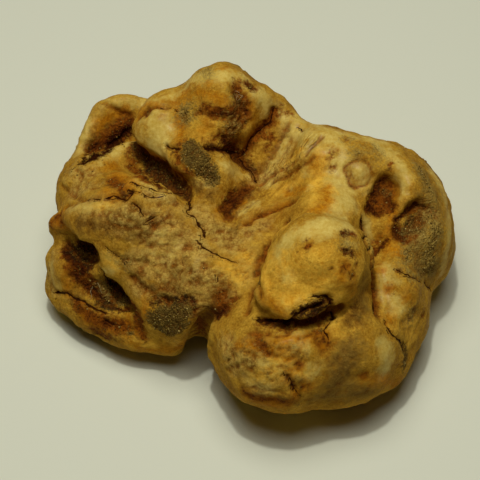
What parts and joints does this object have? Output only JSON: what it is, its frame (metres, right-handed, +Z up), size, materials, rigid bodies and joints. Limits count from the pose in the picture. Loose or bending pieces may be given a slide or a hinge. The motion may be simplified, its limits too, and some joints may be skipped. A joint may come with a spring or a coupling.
{
  "type": "white truffle",
  "caption": "Whole white truffle: a lobed, knobbly underground fungus with folds, hollows and cracks, resting on a small flat spot.",
  "frame": {"origin": "on the surface it lies on, under the middle of its outline box", "axes": "+Z up, +X along its longest side, +Y away from the side that the picture shows nearest"},
  "size_m": [0.0664, 0.057, 0.0338],
  "materials": {
    "truffle_skin": "dry matt skin, cream to ochre, with rust brown stains and grey-green soil in the folds"
  },
  "bodies": {
    "root": {"truffle": "truffle_skin"}
  },
  "joints": []
}
